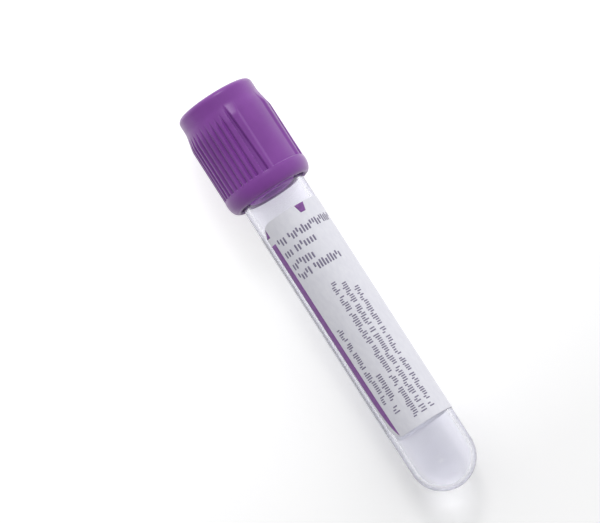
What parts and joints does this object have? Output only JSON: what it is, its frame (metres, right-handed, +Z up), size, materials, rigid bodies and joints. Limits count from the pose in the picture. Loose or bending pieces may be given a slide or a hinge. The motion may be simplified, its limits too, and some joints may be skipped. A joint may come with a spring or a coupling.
{
  "type": "blood collection tube",
  "caption": "Clear round-bottomed sample tube with a wrapped label, closed by a rubber stopper under a ribbed purple plastic shield; the closure pulls off along the tube.",
  "frame": {"origin": "on the ground, under the middle of the lying tube's bounding box", "axes": "+X from the round tip towards the closure along the tube's length, +Z up; the tube's own axis lies in the XZ plane and rises towards the closure by about two degrees, because it lies on the shield's flange and on its round end"},
  "size_m": [0.0866, 0.0174, 0.0178],
  "materials": {
    "tube": "clear polished moulded plastic",
    "label": "smooth white label paper with grey and purple print",
    "shield": "satin moulded purple plastic",
    "stopper": "dull purple moulded rubber"
  },
  "bodies": {
    "tube_body": {"tube": "tube", "label": "label"},
    "closure": {"shield": "shield", "stopper": "stopper"}
  },
  "joints": [
    {"name": "closure_pull", "type": "slide", "parent": "tube_body", "child": "closure", "axis": [0.9993, 0, 0.0366], "range_m": [0, 0.025]}
  ]
}
